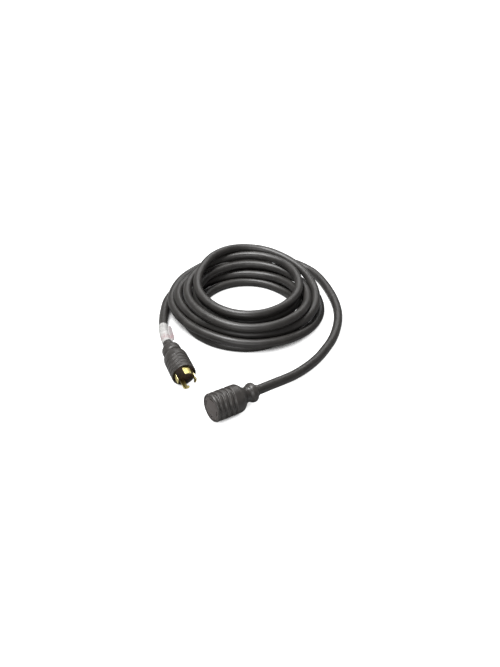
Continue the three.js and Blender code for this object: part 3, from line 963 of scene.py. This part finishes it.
# A pale laminated tag with worn print that says nothing: soft grey rows, one red corner
def labelMaterial(s):
    material, tree, shader = newMaterial("labelFilm")
    vector = addNode(tree, "ShaderNodeAttribute", attribute_name="labelWay").outputs["Vector"]
    parts = addNode(tree, "ShaderNodeSeparateXYZ", {0: vector}).outputs
    patches = groupNode(tree, grain, {"Vector": vector, "Grain Scale": 900.0, "Patch Scale": 110.0})
    colour = mixed(tree, patches["Patches"], s["paper"], s["aged"])
    rows = maths(tree, "SINE", maths(tree, "MULTIPLY", parts[1], 2 * math.pi / 0.0042))
    rows = ranged(tree, rows, 0.1, 0.6)
    ends = ranged(tree, parts[1], 0.030, 0.034)
    broken = ranged(tree, noise(tree, vector, 420.0, 4.0, 0.7), 0.40, 0.60)
    printed = maths(tree, "MULTIPLY", maths(tree, "MULTIPLY", rows, ends), broken)
    colour = mixed(tree, maths(tree, "MULTIPLY", printed, 0.75), colour, s["grey"])
    wrapped = 2 * math.pi * (cordSet["diameter"] / 2 + labelSet["gap"] + labelSet["thickness"])
    onFlag = maths(tree, "MAXIMUM", ranged(tree, parts[0], wrapped, wrapped + 0.002),
                   ranged(tree, parts[0], 0.0, -0.002))
    colour = mixed(tree, maths(tree, "MULTIPLY", onFlag, 0.85), colour, s["flag"])
    low = ranged(tree, parts[1], 0.022, 0.026, 1.0, 0.0)
    foot = ranged(tree, parts[1], 0.009, 0.011)
    worn = ranged(tree, noise(tree, vector, 260.0, 5.0, 0.7), 0.36, 0.66)
    corner = maths(tree, "MULTIPLY", maths(tree, "MULTIPLY", low, foot), worn)
    colour = mixed(tree, maths(tree, "MULTIPLY", corner, 0.8), colour, s["red"])
    tree.links.new(colour, shader.inputs["Base Color"])
    rough = ranged(tree, patches["Patches"], 0.0, 1.0, s["rough"][0], s["rough"][1])
    tree.links.new(rough, shader.inputs["Roughness"])
    bumped(tree, shader, patches["Height"], 0.00003)
    return material


jacket = jacketMaterial("cableJacket", jacketSet, True)
jacketEnd = jacketMaterial("cableJacketEnd", jacketSet, False)
handleRubber = plainMaterial("handleRubber", handleSet)
carrierResin = plainMaterial("carrierResin", carrierSet)
faceResin = plainMaterial("faceResin", faceLookSet)
bladeBrass = plainMaterial("bladeBrass", brassSet)
contactBrass = plainMaterial("contactBrass", contactSet)
strandCopper = plainMaterial("strandCopper", copperSet)
innerMould = plainMaterial("innerMould", innerSet)
labelFilm = labelMaterial(labelLook)
print("materials made")

cable.data.materials.append(jacket)
grips = gripTree()
makeHandle("plugHandle", plugSet, plugPlace, grips, handleRubber, "plug_body")
connectorHandle = makeHandle(
    "connectorHandle", connectorSet, connectorPlace, grips, handleRubber, "connector_body")
makeCarrier(faceSet, carrierResin)
socketFace = makeFace(faceSet, faceResin)
for pole in poleSet:
    makeBlade(pole, bladeSet, bladeBrass)
label = makeLabel(labelSet, cableLine, labelFilm)
print("plug, connector and label made")


def paint(name, material):
    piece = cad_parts[name]
    piece.data.materials.clear()
    piece.data.materials.append(material)


for end in ("plug", "connector"):
    paint(end + "_inner_mould", innerMould)
    paint(end + "_cable_end", jacketEnd)
    for pole, colour in wireColours.items():
        paint(f"{end}_wire_{pole}", plainMaterial(f"wire_{end}_{pole}", wireSet(colour)))
        paint(f"{end}_copper_{pole}", strandCopper)
for pole in poleSet:
    paint("contact_" + pole, contactBrass)

farPieces = [connectorHandle, socketFace, label, "connector_inner_mould", "connector_cable_end"]
for pole in poleSet:
    farPieces += [f"connector_wire_{pole}", f"connector_copper_{pole}", "contact_" + pole]

stageSet = {
    "floorSize": 12.0,
    "floorWhite": 1.02,
    "floorColour": 0.35,
    "shadeReach": 0.06,  # painted shade: the floor's glow darkens where this reach is nearly closed in
    "shadeLow": 0.20,
    "shadeHigh": 0.32,
    "skySeen": 1.0,
    "skyLight": 0.14,
}
lightSet = {
    "overhead": {"place": (-0.45, 0.20, 1.75), "aim": (0, 0.03, 0), "size": (1.1, 0.5), "power": 50},
    "front": {"place": (-0.5, -1.6, 0.8), "aim": (0, 0, 0.02), "size": (1.2, 0.8), "power": 13},
    "behind": {"place": (0.3, 1.4, 1.2), "aim": (0, 0, 0), "size": (1.6, 0.5), "power": 10},
}


def makeStage(s):
    data = bpy.data.meshes.new("floor")
    half = s["floorSize"] / 2
    corners = [(-half, -half, 0), (half, -half, 0), (half, half, 0), (-half, half, 0)]
    data.from_pydata(corners, [], [(0, 1, 2, 3)])
    floor = bpy.data.objects.new("floor", data)
    scene.collection.objects.link(floor)
    material = bpy.data.materials.new("paleFloor")
    material.use_nodes = True
    tree = material.node_tree
    tree.nodes.clear()
    c = s["floorColour"]
    matt = addNode(tree, "ShaderNodeBsdfDiffuse", {"Color": (c, c, c, 1)}).outputs[0]
    seen = addNode(tree, "ShaderNodeLightPath").outputs["Is Camera Ray"]
    # Painted shade: the glow the camera sees is turned down where the floor is closed in, under the
    # coil and in the slits between strands, standing in for contact shadow
    openness = addNode(tree, "ShaderNodeAmbientOcclusion", {"Distance": s["shadeReach"]}).outputs["AO"]
    openness = ranged(tree, openness, s["shadeLow"], s["shadeHigh"])
    strength = maths(tree, "MULTIPLY", maths(tree, "MULTIPLY", seen, openness), s["floorWhite"])
    glow = addNode(tree, "ShaderNodeEmission", {"Strength": strength})
    both = addNode(tree, "ShaderNodeAddShader", {0: matt, 1: glow.outputs[0]})
    addNode(tree, "ShaderNodeOutputMaterial", {0: both.outputs[0]})
    data.materials.append(material)
    world = bpy.data.worlds.new("paleSky")
    scene.world = world
    world.use_nodes = True
    sky = world.node_tree
    seen = addNode(sky, "ShaderNodeLightPath").outputs["Is Camera Ray"]
    strength = ranged(sky, seen, 0.0, 1.0, s["skyLight"], s["skySeen"])
    sky.nodes["Background"].inputs["Color"].default_value = (1, 1, 1, 1)
    sky.links.new(strength, sky.nodes["Background"].inputs["Strength"])


def makeLight(name, s):
    data = bpy.data.lights.new(name, "AREA")
    data.shape = "RECTANGLE"
    data.size, data.size_y = s["size"]
    data.energy = s["power"]
    light = bpy.data.objects.new(name, data)
    light.location = s["place"]
    light.rotation_euler = (Vector(s["aim"]) - Vector(s["place"])).to_track_quat("-Z", "Y").to_euler()
    scene.collection.objects.link(light)


makeStage(stageSet)
for name, values in lightSet.items():
    makeLight(name, values)
print("stage and lights made")
